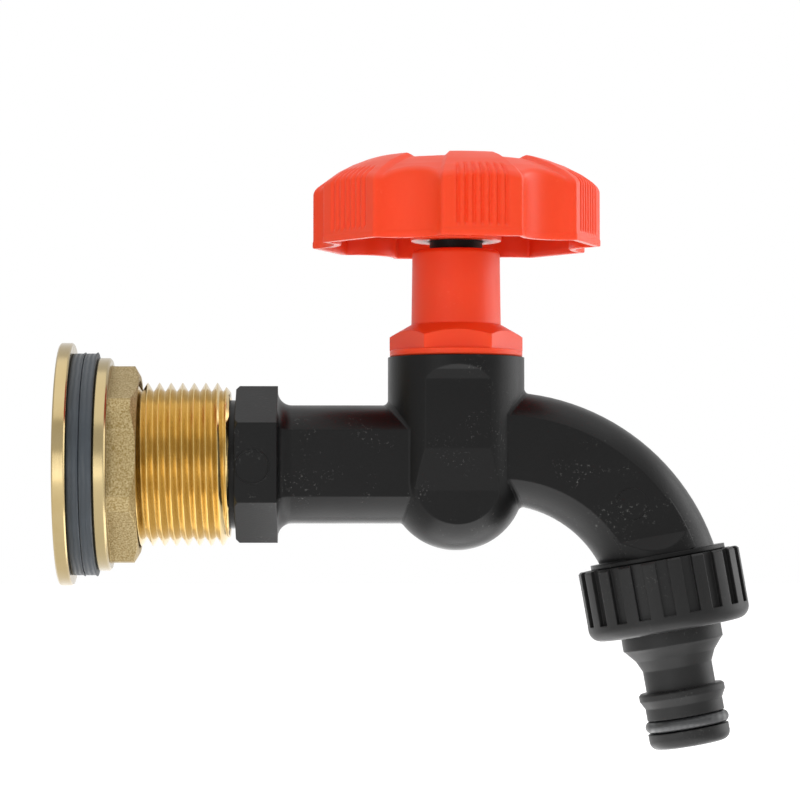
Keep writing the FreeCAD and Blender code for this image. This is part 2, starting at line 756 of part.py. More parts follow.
# heights and radii that the spindle and the wheel share
well_floor = s("wheel_crown") - s("screw_well_depth")
spindle_top = well_floor - s("drive_cover")
wheel_inside = s("wheel_radius") - s("wheel_rim_wall")
pad_face = s("wheel_radius") - s("pad_flat_depth")
lobe_inside = pad_face - s("lobe_wall")

# spindle: lifting thread below, gland shaft with two seal grooves, square drive under the wheel
spindle = new_body("spindle")
groove_half = s("o_ring_groove_width") / 2
shaft = [
    (0, s("spindle_foot")),
    (s("spindle_thread_radius") - lead_in, s("spindle_foot")),
    (s("spindle_thread_radius"), s("spindle_foot") + lead_in),
    (s("spindle_thread_radius"), s("spindle_thread_top") - lead_in),
    (s("spindle_thread_radius") - lead_in, s("spindle_thread_top")),
    (s("spindle_radius"), s("spindle_thread_top")),
]
for height in (s("o_ring_low"), s("o_ring_high")):
    shaft += [
        (s("spindle_radius"), height - groove_half),
        (s("o_ring_groove_radius"), height - groove_half),
        (s("o_ring_groove_radius"), height + groove_half),
        (s("spindle_radius"), height + groove_half),
    ]
shaft += [(s("spindle_radius"), s("drive_start")), (0, s("drive_start"))]
turned(spindle, "spindle_turning", shaft)
drive = spindle.newObject("PartDesign::AdditiveBox", "square_drive")
bind(drive, "Length", s("drive_side"))
bind(drive, "Width", s("drive_side"))
bind(drive, "Height", spindle_top - s("drive_start") + 1)
put(drive, (-s("drive_side") / 2, -s("drive_side") / 2, s("drive_start") - 1))
cylinder(spindle, "stem_hole", s("stem_hole_radius"), s("stem_hole_depth") + 1,
         at=(0, 0, s("spindle_foot") - 1), cut=True)
cylinder(spindle, "screw_hole", s("wheel_screw_radius") + s("seal_clearance"), s("wheel_screw_length") + 1,
         at=(0, 0, spindle_top - s("wheel_screw_length")), cut=True)
put(spindle, (valve_x, 0, 0), s("wheel_turned"), about=(0, 0, 1))


def o_ring(label, wire, middle, at, turn=None):
    """A round ring: a wire of one radius on a circle of another."""
    ring = doc.addObject("Part::Torus", label)
    ring.Label = label
    bind(ring, "Radius1", middle)
    bind(ring, "Radius2", wire)
    put(ring, at, turn)
    return ring


gland_ring = s("o_ring_groove_radius") + s("o_ring_wire") + s("o_ring_slack")
o_ring("spindle_o_ring_lower", s("o_ring_wire"), gland_ring, (valve_x, 0, s("o_ring_low")))
o_ring("spindle_o_ring_upper", s("o_ring_wire"), gland_ring, (valve_x, 0, s("o_ring_high")))

# jumper, valve washer and the screw that holds it
washer_at = s("seat_top") + s("valve_seat_gap")
jumper_at = washer_at + s("valve_washer_thickness")
jumper = new_body("jumper")
cylinder(jumper, "jumper_plate", s("jumper_radius"), s("jumper_thickness"), at=(0, 0, jumper_at))
cylinder(jumper, "jumper_stem", s("jumper_stem_radius"), s("jumper_stem_length") + 1,
         at=(0, 0, jumper_at + s("jumper_thickness") - 1))
screw_reach = s("washer_screw_length") - s("valve_washer_thickness")
cylinder(jumper, "jumper_screw_hole", s("washer_screw_radius") + s("seal_clearance"), screw_reach + 1,
         at=(0, 0, jumper_at - 1), cut=True)
put(jumper, (valve_x, 0, 0))
ring_on_valve("valve_washer", washer_at, s("valve_washer_thickness"),
              s("washer_screw_radius") + s("seal_clearance"), s("valve_washer_radius"))
washer_screw = new_body("washer_screw")
cylinder(washer_screw, "washer_screw_head", s("washer_screw_head_radius"), s("washer_screw_head"),
         at=(0, 0, washer_at - s("washer_screw_head")))
cylinder(washer_screw, "washer_screw_shank", s("washer_screw_radius"), s("washer_screw_length") + 0.5,
         at=(0, 0, washer_at - 0.5))
put(washer_screw, (valve_x, 0, 0))

# hand wheel: a hollow domed cap on a square-socketed hub, with six flat-faced lobes between scallops,
# each lobe carried over the top as a raised pad that ends at a round recess
hand_wheel = new_body("hand_wheel")
crown_slope = s("wheel_crown") - s("wheel_shoulder")
crown_reach = s("wheel_radius") - s("wheel_crown_radius")
dome = [
    (s("wheel_radius") - crown_reach * inward, s("wheel_shoulder") + crown_slope * rise)
    for inward, rise in DOME_SHARES
]
turned(
    hand_wheel,
    "wheel_turning",
    [
        (0, s("wheel_foot")),
        (s("wheel_radius"), s("wheel_foot")),
        (s("wheel_radius"), s("wheel_shoulder")),
        *dome,
        (s("wheel_crown_radius"), s("wheel_crown")),
        (0, s("wheel_crown")),
    ],
)
scallop_at = s("wheel_radius") - s("scallop_depth") + s("scallop_radius")
scallop = cylinder(hand_wheel, "scallop", s("scallop_radius"), s("wheel_crown") - s("wheel_foot") + 2,
                   at=(scallop_at * math.cos(math.pi / LOBES), scallop_at * math.sin(math.pi / LOBES),
                       s("wheel_foot") - 1), cut=True)
repeat_round(hand_wheel, "scallops", scallop, LOBES)
pad_cut = hand_wheel.newObject("PartDesign::SubtractiveBox", "pad_cut")
bind(pad_cut, "Length", s("pad_flat_depth") + 1)
bind(pad_cut, "Width", s("wheel_radius"))
bind(pad_cut, "Height", s("wheel_crown") - s("wheel_foot") + 2)
put(pad_cut, (pad_face, -s("wheel_radius") / 2, s("wheel_foot") - 1))
repeat_round(hand_wheel, "pad_cuts", pad_cut, LOBES)
between_pads = turned(
    hand_wheel,
    "between_pads",
    [
        (s("wheel_radius") + 1, s("wheel_shoulder") - s("pad_height")),
        *[(radius, height - s("pad_height")) for radius, height in dome],
        (s("wheel_crown_radius"), s("wheel_crown") - s("pad_height")),
        (s("crown_recess_radius") - 1, s("wheel_crown") - s("pad_height")),
        (s("crown_recess_radius") - 1, s("wheel_crown") + 1),
        (s("wheel_radius") + 1, s("wheel_crown") + 1),
    ],
    cut=True,
)
bind(between_pads, "Angle", s("pad_gap_angle"))
between_pads.Midplane = True
between_pads.Profile[0].AttachmentOffset = FreeCAD.Placement(
    FreeCAD.Vector(), FreeCAD.Rotation(FreeCAD.Vector(0, 1, 0), 180 / LOBES)
)
repeat_round(hand_wheel, "pad_gaps", between_pads, LOBES)
cylinder(hand_wheel, "crown_recess", s("crown_recess_radius"), s("crown_recess_depth") + 1,
         at=(0, 0, s("wheel_crown") - s("crown_recess_depth")), cut=True)
turned(
    hand_wheel,
    "wheel_hollow",
    [
        (s("hub_radius"), s("wheel_foot") - 1),
        (wheel_inside, s("wheel_foot") - 1),
        (wheel_inside, s("wheel_shoulder") - s("wheel_wall")),
        (wheel_inside - (wheel_inside - s("hub_radius")) * CEILING_SHARES[0],
         s("wheel_shoulder") + crown_slope * CEILING_SHARES[1] - s("wheel_wall")),
        (s("hub_radius"), s("wheel_crown") - s("wheel_wall") - 1),
    ],
    cut=True,
)
hollow = hand_wheel.newObject("PartDesign::SubtractiveBox", "lobe_hollow")
bind(hollow, "Length", lobe_inside - wheel_inside + 4)
bind(hollow, "Width", s("lobe_hollow_width"))
bind(hollow, "Height", s("wheel_shoulder") - s("wheel_wall") - s("wheel_foot") + 1)
put(hollow, (wheel_inside - 4, -s("lobe_hollow_width") / 2, s("wheel_foot") - 1))
repeat_round(hand_wheel, "lobe_hollows", hollow, LOBES)
cylinder(hand_wheel, "hub_end", s("hub_radius") + 1, s("hub_foot") - s("wheel_foot") + 1,
         at=(0, 0, s("wheel_foot") - 1), cut=True)
cylinder(hand_wheel, "hub_socket", s("spindle_radius") + s("drive_clearance"),
         s("drive_start") - s("hub_foot") + 1, at=(0, 0, s("hub_foot") - 1), cut=True)
socket = hand_wheel.newObject("PartDesign::SubtractiveBox", "drive_socket")
socket_side = s("drive_side") + s("drive_clearance") * 2
bind(socket, "Length", socket_side)
bind(socket, "Width", socket_side)
bind(socket, "Height", spindle_top - s("drive_start") + 1)
put(socket, (-socket_side / 2, -socket_side / 2, s("drive_start") - 1))
cylinder(hand_wheel, "screw_well", s("screw_well_radius"), s("screw_well_depth") + 1,
         at=(0, 0, well_floor), cut=True)
cylinder(hand_wheel, "screw_clearance", s("wheel_screw_radius") + s("drive_clearance"), 12,
         at=(0, 0, spindle_top - 1), cut=True)
put(hand_wheel, (valve_x, 0, 0), s("wheel_turned") - 90, about=(0, 0, 1))
wheel_washer_inner = s("wheel_screw_radius") + s("drive_clearance")
ring_on_valve("wheel_washer", well_floor, s("wheel_washer_thickness"), wheel_washer_inner,
              s("wheel_washer_radius"))
wheel_screw = new_body("wheel_screw")
head_at = well_floor + s("wheel_washer_thickness")
cylinder(wheel_screw, "wheel_screw_head", s("wheel_screw_head_radius"), s("wheel_screw_head"),
         at=(0, 0, head_at))
cylinder(wheel_screw, "wheel_screw_shank", s("wheel_screw_radius"),
         head_at - spindle_top + s("wheel_screw_length") - 0.5,
         at=(0, 0, spindle_top - s("wheel_screw_length") + 1))
put(wheel_screw, (valve_x, 0, 0))

# hose adaptor: ribbed screw collar and barbed nozzle in one moulding, drawn down its own axis
adaptor_at = s("adaptor_gap")
adaptor_bore = s("outlet_thread_radius") + s("adaptor_thread_gap")
washer_floor = s("outlet_thread_reach") - adaptor_at + s("adaptor_washer_gap")
floor_depth = washer_floor + s("adaptor_washer_thickness")
hose_adaptor = new_body("hose_adaptor")
groove_end = s("nozzle_groove_start") + s("nozzle_groove_width")
groove_floor = s("nozzle_ring_radius") - s("nozzle_ring_wire") * 2 - s("o_ring_slack")
bevel = s("adaptor_mouth_bevel")
turned(
    hose_adaptor,
    "adaptor_turning",
    [
        (adaptor_bore + bevel, 0),
        (s("adaptor_collar_radius") - break_, 0),
        (s("adaptor_collar_radius"), break_),
        (s("adaptor_collar_radius"), s("adaptor_collar_height")),
        (s("adaptor_shoulder_radius"), s("adaptor_collar_height")),
        (s("adaptor_shoulder_radius"), s("adaptor_shoulder_end") - s("adaptor_shoulder_break")),
        (s("adaptor_shoulder_radius") - s("adaptor_shoulder_break"), s("adaptor_shoulder_end")),
        (s("nozzle_flare_radius"), s("nozzle_flare_end")),
        (s("nozzle_neck_radius"), s("nozzle_neck_start")),
        (s("nozzle_neck_radius"), s("nozzle_ridge_start")),
        (s("nozzle_ridge_radius") - s("nozzle_ridge_break"), s("nozzle_ridge_start")),
        (s("nozzle_ridge_radius"), s("nozzle_ridge_start") + s("nozzle_ridge_break")),
        (s("nozzle_ridge_radius"), s("nozzle_ridge_start") + s("nozzle_ridge_width")),
        (s("nozzle_land_radius"), s("nozzle_land_start")),
        (s("nozzle_land_radius"), s("nozzle_groove_start")),
        (groove_floor, s("nozzle_groove_start")),
        (groove_floor, groove_end),
        (s("nozzle_tip_radius"), groove_end),
        (s("nozzle_tip_radius"), s("nozzle_end")),
        (s("nozzle_bore_radius"), s("nozzle_end")),
        (s("nozzle_bore_radius"), floor_depth),
        (adaptor_bore, floor_depth),
        (adaptor_bore, bevel),
    ],
)
soften(
    hose_adaptor,
    "collar_rounding",
    s("adaptor_collar_round"),
    lambda p: abs(p.z - SIZES["adaptor_collar_height"]) < 0.01
    and abs(math.hypot(p.x, p.y) - SIZES["adaptor_collar_radius"]) < 0.01,
)
soften(
    hose_adaptor,
    "tip_rounding",
    s("nozzle_tip_round"),
    lambda p: abs(p.z - SIZES["nozzle_end"]) < 0.01
    and abs(math.hypot(p.x, p.y) - SIZES["nozzle_tip_radius"]) < 0.01,
)
slot = hose_adaptor.newObject("PartDesign::SubtractiveBox", "grip_slot")
bind(slot, "Length", s("grip_slot_depth") + 2)
bind(slot, "Width", s("grip_slot_width"))
bind(slot, "Height", s("grip_slot_length") + 1)
slot_floor = s("adaptor_collar_radius") - s("grip_slot_depth")
slot_half = s("grip_slot_width") / 2
turn_cos = cosine(s("grip_slot_phase"))
turn_sin = sine(s("grip_slot_phase"))
put(slot, (slot_floor * turn_cos + slot_half * turn_sin, slot_floor * turn_sin - slot_half * turn_cos, -1),
    s("grip_slot_phase"), about=(0, 0, 1))
repeat_round(hose_adaptor, "grip_slots", slot, GRIP_SLOTS)
put(hose_adaptor, on_outlet(adaptor_at), down)
adaptor_washer = new_body("adaptor_washer")
turned(
    adaptor_washer,
    "adaptor_washer_turning",
    [
        (s("outlet_bore_radius"), washer_floor),
        (adaptor_bore - s("adaptor_washer_gap"), washer_floor),
        (adaptor_bore - s("adaptor_washer_gap"), floor_depth),
        (s("outlet_bore_radius"), floor_depth),
    ],
)
put(adaptor_washer, on_outlet(adaptor_at), down)
ring_middle = s("nozzle_groove_start") + s("nozzle_groove_width") / 2
o_ring("nozzle_o_ring", s("nozzle_ring_wire"), s("nozzle_ring_radius") - s("nozzle_ring_wire"),
       on_outlet(adaptor_at + ring_middle), down)

doc.recompute()
PARTS = [o for o in doc.Objects if o.TypeId in ("PartDesign::Body", "Part::Torus")]
trouble = [o.Name for o in doc.Objects if "Invalid" in o.State or "Error" in o.State]
trouble += [o.Label for o in PARTS if o.Shape.isNull() or not o.Shape.isValid() or len(o.Shape.Solids) != 1]
if trouble:
    print("not sound:", sorted(set(trouble)))
    sys.exit(1)
os.makedirs("parts", exist_ok=True)
for part in PARTS:
    part.Shape.exportStep(f"parts/{part.Label}.step")
    box = part.Shape.BoundBox
    print(f"{part.Label:22s} {part.Shape.Volume:10.1f} mm3  X {box.XMin:.2f}..{box.XMax:.2f}"
          f"  Y {box.YMin:.2f}..{box.YMax:.2f}  Z {box.ZMin:.2f}..{box.ZMax:.2f}")
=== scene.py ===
# %% [markdown]
# # Dressing a water butt tap
# The solids of this tap are already built and packed: a brass tank connector with its nut and washers, a black
# moulded tap body, a red bonnet and hand wheel, and a black hose adaptor. This lesson loads them as a fixed frame,
# adds what solids leave out, such as cut threads, grip grooves and moulding marks, and gives every piece its own
# finish.

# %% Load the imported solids
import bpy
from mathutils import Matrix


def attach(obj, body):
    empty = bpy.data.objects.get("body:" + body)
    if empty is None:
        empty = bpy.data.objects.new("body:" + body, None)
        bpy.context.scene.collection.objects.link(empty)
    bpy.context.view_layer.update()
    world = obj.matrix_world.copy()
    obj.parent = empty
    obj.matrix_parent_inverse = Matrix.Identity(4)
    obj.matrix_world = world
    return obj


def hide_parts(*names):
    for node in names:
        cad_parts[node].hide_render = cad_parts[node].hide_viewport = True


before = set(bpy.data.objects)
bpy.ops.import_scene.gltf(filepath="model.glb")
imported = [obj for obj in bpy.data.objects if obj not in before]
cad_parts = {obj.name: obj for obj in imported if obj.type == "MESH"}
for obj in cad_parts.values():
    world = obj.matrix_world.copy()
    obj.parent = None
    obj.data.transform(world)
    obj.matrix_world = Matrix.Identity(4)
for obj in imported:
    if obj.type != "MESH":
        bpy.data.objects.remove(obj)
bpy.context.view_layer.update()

import bmesh
import bpy
import numpy as np
from mathutils import Vector

scene = bpy.context.scene
scene.view_settings.view_transform = "Standard"
print("nodes:", len(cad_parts))

# %% [markdown]
# ## Two helpers for shapes
# Each new piece is a grid of points worked out with numpy and laid as a skin of quads. Spin and Screw modifiers could
# turn a profile too, but a grid also takes lobes, grooves and a thread's lead, which change from one angle to the
# next. Closed grids have no open edges, and doubled points, as where a thread runs out, are merged.

# %% Lay a grid of points as a skin
MM = 0.001


def lay_skin(name, points, body, finish, around=True, closed=True, crease=38.0):
    """points[i, j] in millimetres: row i of the profile at column j of the path. With around, the last column joins
    the first, and with closed the last row joins the first. Each quad spans two rows and two columns."""
    rows, columns = points.shape[:2]
    index = np.arange(rows * columns).reshape(rows, columns)
    if closed:
        index = np.concatenate([index, index[:1]], axis=0)
    if around:
        index = np.concatenate([index, index[:, :1]], axis=1)
    quads = np.stack([index[:-1, :-1], index[1:, :-1], index[1:, 1:], index[:-1, 1:]], axis=-1)
    mesh = bpy.data.meshes.new(name)
    mesh.from_pydata((points.reshape(-1, 3) * MM).tolist(), [], quads.reshape(-1, 4).tolist())
    work = bmesh.new()
    work.from_mesh(mesh)
    bmesh.ops.remove_doubles(work, verts=work.verts, dist=2e-6)
    bmesh.ops.recalc_face_normals(work, faces=work.faces)
    work.to_mesh(mesh)
    work.free()
    mesh.shade_smooth()
    mesh.set_sharp_from_angle(angle=np.radians(crease))
    mesh.materials.append(finish)
    piece = bpy.data.objects.new(name, mesh)
    scene.collection.objects.link(piece)
    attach(piece, body)
    print(name, len(mesh.polygons), "faces")
    return piece


def smooth_step(value, start, end):
    """0 before start, 1 after end, and 3t^2 - 2t^3 between them, t being the share of the way."""
    share = np.clip((value - start) / (end - start), 0.0, 1.0)
    return share * share * (3.0 - 2.0 * share)


# %% [markdown]
# ## Two helpers for finishes
# Colours are written as the sRGB hex values that a colour picker shows, and Blender's sockets want linear light, so
# one function turns the first into the second. The other adds a node, sets it and links it, which keeps a finish
# readable.

# %% Colours and nodes
def linear(code):
    """Each channel c of an sRGB hex colour becomes c/12.92 near black and ((c + 0.055)/1.055)^2.4 above it."""
    channels = np.array([int(code[i:i + 2], 16) for i in (1, 3, 5)]) / 255.0
    light = np.where(channels <= 0.04045, channels / 12.92, ((channels + 0.055) / 1.055) ** 2.4)
    return (*map(float, light), 1.0)


def add_node(tree, kind, inputs=None, **settings):
    """Adds a node, gives it its settings, and fills each named input with a value or a link from another node's
    output."""
    made = tree.nodes.new(kind)
    for key, value in settings.items():
        setattr(made, key, value)
    for key, value in (inputs or {}).items():
        if isinstance(value, bpy.types.NodeSocket):
            tree.links.new(value, made.inputs[key])
        else:
            made.inputs[key].default_value = value
    return made


def start_finish(name):
    """A material with a Principled shader, its node tree and the mesh's own Object coordinates."""
    finish = bpy.data.materials.new(name)
    finish.use_nodes = True
    tree = finish.node_tree
    place = add_node(tree, "ShaderNodeTexCoord").outputs["Object"]
    return finish, tree, tree.nodes["Principled BSDF"], place


def per_mm(size):
    """A texture's scale for a pattern that repeats about every size millimetres, on coordinates in metres."""
    return 1.0 / (size * MM)


def bands_per_mm(size):
    """A Wave texture's scale for bands that repeat every size millimetres. One band spans 2 pi / 20 of its own
    units."""
    return per_mm(size) * 2.0 * np.pi / 20.0


# %% [markdown]
# ## Moulded polypropylene, black and red
# The body and the adaptor are injection moulded in black polypropylene, and the bonnet and the wheel in red. A
# polished mould leaves a satin skin with a faint orange-peel wave, a little dust and a few pale scuffs. The adaptor's
# mould was blasted, so it is duller, and red plastic lets some light in, so it glows a little from within. A picture
# of scuffs could be laid on, but noise needs no seams. Moulded edges are never sharp, so the Bevel node rounds the
# highlights of edges by a third of a millimetre without touching the solids.

# %% Moulded polypropylene
GLOW_DEPTH = 1.5
PEEL = 0.45
PEEL_DEPTH = 0.04


def moulded_plastic(name, body_colour, scuff_colour, rough, edge, scuff_share, shine, glow=0.0):
    """Satin plastic: gloss wavers over a few millimetres, a fine peel bumps the skin, and where a coarse noise is
    high a fine one leaves pale flecks. Parting faces, whose normals point straight down, come from a polished plate
    and shine more. The shine is low, because the white room shows all over the skin."""
    finish, tree, shader, place = start_finish(name)
    gloss = add_node(tree, "ShaderNodeTexNoise", {"Vector": place, "Scale": per_mm(9.0), "Detail": 4.0})
    rubbed = add_node(tree, "ShaderNodeTexNoise", {"Vector": place, "Scale": per_mm(7.0), "Detail": 2.0})
    rubbed = add_node(tree, "ShaderNodeMapRange", {"Value": rubbed.outputs["Fac"],
                                                   "From Min": 0.54, "From Max": 0.69})
    flecks = add_node(tree, "ShaderNodeTexNoise", {"Vector": place, "Scale": per_mm(0.6), "Detail": 3.0,
                                                   "Roughness": 0.7})
    flecks = add_node(tree, "ShaderNodeMapRange", {"Value": flecks.outputs["Fac"], "From Min": 0.59, "From Max": 0.72,
                                                   "To Max": scuff_share})
    scuffs = add_node(tree, "ShaderNodeMath", {0: rubbed.outputs["Result"], 1: flecks.outputs["Result"]},
                      operation="MULTIPLY")
    colour = add_node(tree, "ShaderNodeMix", {6: linear(body_colour), 7: linear(scuff_colour),
                                              0: scuffs.outputs[0]}, data_type="RGBA")
    roughness = add_node(tree, "ShaderNodeMapRange", {"Value": gloss.outputs["Fac"], "From Min": 0.3, "From Max": 0.7,
                                                      "To Min": rough - 0.04, "To Max": rough + 0.05})
    facing = add_node(tree, "ShaderNodeNewGeometry").outputs["Normal"]
    down = add_node(tree, "ShaderNodeSeparateXYZ", {"Vector": facing}).outputs["Z"]
    polished = add_node(tree, "ShaderNodeMapRange", {"Value": down, "From Min": -0.97, "From Max": -0.85,
                                                     "To Min": 0.6})
    roughness = add_node(tree, "ShaderNodeMath", {0: roughness.outputs["Result"], 1: polished.outputs["Result"]},
                         operation="MULTIPLY")
    peel = add_node(tree, "ShaderNodeTexNoise", {"Vector": place, "Scale": per_mm(PEEL), "Detail": 2.0})
    rounded = add_node(tree, "ShaderNodeBevel", {"Radius": edge * MM}, samples=6)
    bump = add_node(tree, "ShaderNodeBump", {"Height": peel.outputs["Fac"], "Strength": 0.4,
                                             "Distance": PEEL_DEPTH * MM, "Normal": rounded.outputs["Normal"]})
    tree.links.new(colour.outputs[2], shader.inputs["Base Color"])
    tree.links.new(roughness.outputs[0], shader.inputs["Roughness"])
    tree.links.new(bump.outputs["Normal"], shader.inputs["Normal"])
    shader.inputs["IOR"].default_value = 1.49
    shader.inputs["Specular IOR Level"].default_value = shine
    shader.inputs["Subsurface Weight"].default_value = glow
    shader.inputs["Subsurface Radius"].default_value = (1.0, 0.15, 0.08)
    shader.inputs["Subsurface Scale"].default_value = GLOW_DEPTH * MM
    return finish


black_polypropylene = moulded_plastic("moulded_black_polypropylene", body_colour="#0B0B0B", scuff_colour="#7A7A78",
                                      rough=0.36, edge=0.35, scuff_share=0.45, shine=0.16)
matt_polypropylene = moulded_plastic("moulded_matt_black_polypropylene", body_colour="#1C1C1C", scuff_colour="#6A6A68",
                                     rough=0.4, edge=0.35, scuff_share=0.35, shine=0.16)
red_polypropylene = moulded_plastic("moulded_red_polypropylene", body_colour="#EA4218", scuff_colour="#FF8A68",
                                    rough=0.44, edge=0.3, scuff_share=0.2, shine=0.35, glow=0.3)
print("plastics ready")

# %% [markdown]
# ## Brass, turned and forged
# The connector is turned from brass bar, which leaves fine rings that draw highlights out along the cut. The nut is
# forged and shot blasted, with only its rim turned, so its hexagon sparkles with a coarse grain. Painted pictures
# could do this too, but patterns in the metal's own coordinates follow the turning without seams. Tool rings are much
# finer than a millimetre, too fine for the picture, so they are drawn as coarse as they need to show.

# %% Turned brass
RING_SPACING = 0.987
THREAD_FROM = -2.6
THREAD_FULL = -2.0


def turned_brass_finish():
    """Fine rings about the pipe's axis: a wave in X, broken up by a noise. On the thread, from 2.3 mm before the nut's
    outer face on, the colour is painted brighter than the flange's: a painted highlight for the brighter reflections of
    the thread's flanks."""
    finish, tree, shader, place = start_finish("turned_brass")
    rings = add_node(tree, "ShaderNodeTexWave", {"Vector": place, "Scale": bands_per_mm(RING_SPACING),
                                                 "Distortion": 1.5, "Detail": 2.0, "Detail Scale": 2.0},
                     bands_direction="X")
    cloud = add_node(tree, "ShaderNodeTexNoise", {"Vector": place, "Scale": per_mm(6.0), "Detail": 4.0})
    colour = add_node(tree, "ShaderNodeMix", {"Factor": cloud.outputs["Fac"]}, data_type="RGBA")
    colour.inputs[6].default_value = linear("#9B875B")
    colour.inputs[7].default_value = linear("#A99975")
    # Painted highlight: the thread gets paler, brighter colours than the flange, for the reflections its flanks catch.
    thread_highlight = add_node(tree, "ShaderNodeMix", {"Factor": cloud.outputs["Fac"]}, data_type="RGBA")
    thread_highlight.inputs[6].default_value = linear("#BFA468")
    thread_highlight.inputs[7].default_value = linear("#CFB782")
    along = add_node(tree, "ShaderNodeSeparateXYZ", {"Vector": place}).outputs["X"]
    # The mask of that painted highlight rises from the thread's start towards the nut.
    cut = add_node(tree, "ShaderNodeMapRange", {"Value": along, "From Min": THREAD_FROM * MM,
                                                "From Max": THREAD_FULL * MM})
    colour = add_node(tree, "ShaderNodeMix", {0: cut.outputs["Result"], 6: colour.outputs[2], 7: thread_highlight.outputs[2]},
                      data_type="RGBA")
    roughness = add_node(tree, "ShaderNodeMapRange", {"Value": cloud.outputs["Fac"], "From Min": 0.3, "From Max": 0.7,
                                                      "To Min": 0.16, "To Max": 0.25})
    rounded = add_node(tree, "ShaderNodeBevel", {"Radius": 0.15 * MM}, samples=6)
    bump = add_node(tree, "ShaderNodeBump", {"Height": rings.outputs["Fac"], "Strength": 0.12, "Distance": 0.03 * MM,
                                             "Normal": rounded.outputs["Normal"]})
    tree.links.new(colour.outputs[2], shader.inputs["Base Color"])
    tree.links.new(roughness.outputs["Result"], shader.inputs["Roughness"])
    tree.links.new(bump.outputs["Normal"], shader.inputs["Normal"])
    shader.inputs["Metallic"].default_value = 1.0
    return finish


turned_brass = turned_brass_finish()
print("turned brass ready")

# %% Forged and blasted brass
GRAIN = 0.34
RIM_FROM = 19.6
RIM_FULL = 19.9


def forged_brass_finish():
    """A blasted grain of a third of a millimetre bumps the skin and mottles its colour. Beyond 19.7 mm from the
    pipe's axis lies the flange's rim, which is turned: there the grain fades out and the gloss rises."""
    finish, tree, shader, place = start_finish("forged_blasted_brass")
    grain = add_node(tree, "ShaderNodeTexNoise", {"Vector": place, "Scale": per_mm(GRAIN), "Detail": 3.0,
                                                  "Roughness": 0.6})
    mottle = add_node(tree, "ShaderNodeMapRange", {"Value": grain.outputs["Fac"], "From Min": 0.35, "From Max": 0.65})
    across = add_node(tree, "ShaderNodeVectorMath", {0: place, 1: (0.0, 1.0, 1.0)}, operation="MULTIPLY")
    out = add_node(tree, "ShaderNodeVectorMath", {0: across.outputs["Vector"]}, operation="LENGTH").outputs["Value"]
    rim = add_node(tree, "ShaderNodeMapRange", {"Value": out, "From Min": RIM_FROM * MM, "From Max": RIM_FULL * MM})
    rim = rim.outputs["Result"]
    strength = add_node(tree, "ShaderNodeMapRange", {"Value": rim, "To Min": 0.6, "To Max": 0.01})
    roughness = add_node(tree, "ShaderNodeMapRange", {"Value": rim, "To Min": 0.55, "To Max": 0.22})
    shade = add_node(tree, "ShaderNodeMix", {0: rim, 2: mottle.outputs["Result"], 3: 0.7}, data_type="FLOAT")
    colour = add_node(tree, "ShaderNodeMix", {"Factor": shade.outputs[0]}, data_type="RGBA")
    colour.inputs[6].default_value = linear("#806B40")
    colour.inputs[7].default_value = linear("#AA9B76")
    rounded = add_node(tree, "ShaderNodeBevel", {"Radius": 0.3 * MM}, samples=6)
    bump = add_node(tree, "ShaderNodeBump", {"Height": grain.outputs["Fac"], "Strength": strength.outputs["Result"],
                                             "Distance": 0.12 * MM, "Normal": rounded.outputs["Normal"]})
    tree.links.new(colour.outputs[2], shader.inputs["Base Color"])
    tree.links.new(bump.outputs["Normal"], shader.inputs["Normal"])
    tree.links.new(roughness.outputs["Result"], shader.inputs["Roughness"])
    shader.inputs["Metallic"].default_value = 1.0
    return finish


forged_brass = forged_brass_finish()
print("forged brass ready")

# %% [markdown]
# ## Rubber, acetal and plated steel
# The washers are cut from a rubber tube, which leaves fine rings, and rubber stays dull with a bluish bloom. The
# jumper inside is white acetal, and the screws and the small washer are zinc-plated steel. Each could have a finish
# of its own, but they differ only in colour, gloss and the size of their marks, so one function serves them all.

# %% Rubber, acetal and plated steel
def dull_finish(name, dark, pale, size, rough, metallic, wave):
    """Two close shades in a cloud of the given size in millimetres, with rings that repeat every wave millimetres.
    The rings bump the skin a little and streak its gloss."""
    finish, tree, shader, place = start_finish(name)
    cloud = add_node(tree, "ShaderNodeTexNoise", {"Vector": place, "Scale": per_mm(size), "Detail": 4.0})
    colour = add_node(tree, "ShaderNodeMix", {"Factor": cloud.outputs["Fac"]}, data_type="RGBA")
    colour.inputs[6].default_value = linear(dark)
    colour.inputs[7].default_value = linear(pale)
    rings = add_node(tree, "ShaderNodeTexWave", {"Vector": place, "Scale": bands_per_mm(wave), "Distortion": 2.0},
                     bands_direction="X")
    rounded = add_node(tree, "ShaderNodeBevel", {"Radius": 0.25 * MM}, samples=6)
    streaks = add_node(tree, "ShaderNodeMapRange", {"Value": rings.outputs["Fac"], "To Min": rough - 0.1,
                                                    "To Max": rough + 0.1})
    bump = add_node(tree, "ShaderNodeBump", {"Height": rings.outputs["Fac"], "Strength": 0.4, "Distance": 0.06 * MM,
                                             "Normal": rounded.outputs["Normal"]})
    tree.links.new(colour.outputs[2], shader.inputs["Base Color"])
    tree.links.new(bump.outputs["Normal"], shader.inputs["Normal"])
    tree.links.new(streaks.outputs["Result"], shader.inputs["Roughness"])
    shader.inputs["Metallic"].default_value = metallic
    return finish


washer_rubber = dull_finish("cut_washer_rubber", dark="#20262B", pale="#30383F", size=4.0, rough=0.5, metallic=0.0,
                            wave=0.888)
ring_rubber = dull_finish("moulded_ring_rubber", dark="#1C1D1E", pale="#262728", size=3.0, rough=0.42, metallic=0.0,
                          wave=1.184)
white_acetal = dull_finish("moulded_white_acetal", dark="#E4E2DC", pale="#F0EEE8", size=5.0, rough=0.35, metallic=0.0,
                           wave=1.579)
zinc_steel = dull_finish("zinc_plated_steel", dark="#B9BCC0", pale="#D5D7DA", size=2.0, rough=0.3, metallic=1.0,
                         wave=0.79)
print("rubber, acetal and steel ready")

# %% [markdown]
# ## Finishes for the solids that stay
# A solid whose shape is already right keeps its mesh and only gets a finish through its material slots. A new skin
# over each would double the work, and its shape couldn't follow the solid if that changes.

